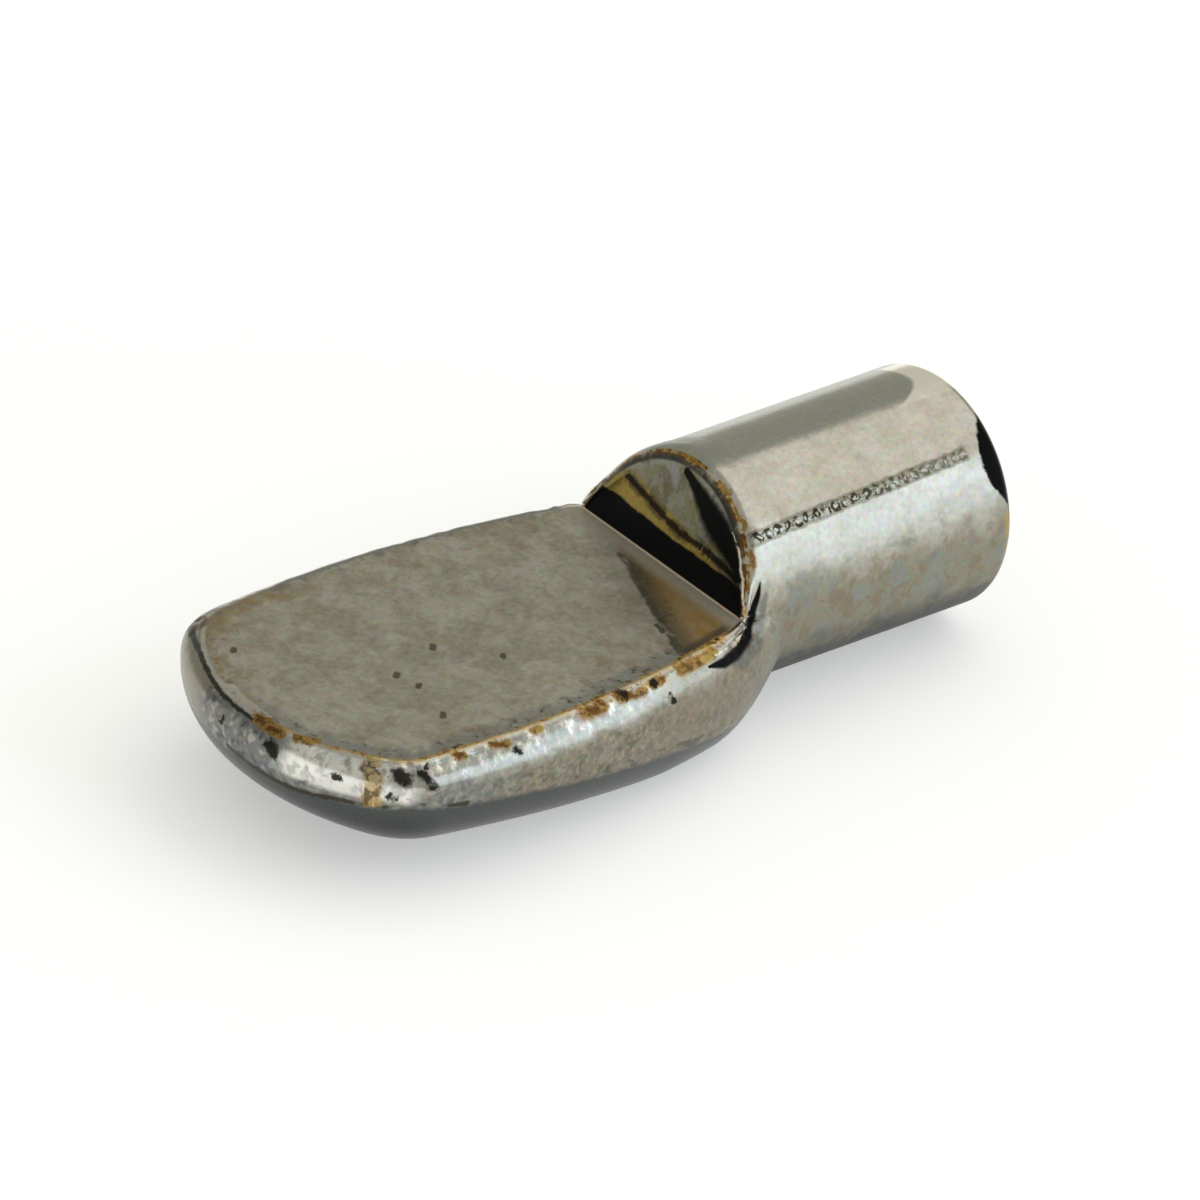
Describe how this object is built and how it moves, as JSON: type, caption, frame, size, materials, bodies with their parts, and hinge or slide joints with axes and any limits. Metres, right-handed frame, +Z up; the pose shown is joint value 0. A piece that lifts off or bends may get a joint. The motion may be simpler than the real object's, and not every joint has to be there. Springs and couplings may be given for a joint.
{
  "type": "shelf support pin",
  "caption": "Spoon-shaped shelf support: a round pin that pushes into a hole in a cabinet side, and a flat paddle on which the edge of a shelf rests.",
  "frame": {"origin": "on the pin's axis, in the plane of the shoulders, where the pin leaves the cabinet side", "axes": "+X along the pin to its free end, the paddle reaches along -X, +Z up out of the seat that the shelf lies on, +Y across the paddle"},
  "size_m": [0.0179, 0.0076, 0.0051],
  "materials": {
    "nickel": "worn semi-bright nickel plate with dark pits and brown tarnish along the edges"
  },
  "bodies": {
    "root": {"support_pin": "nickel"}
  },
  "joints": []
}
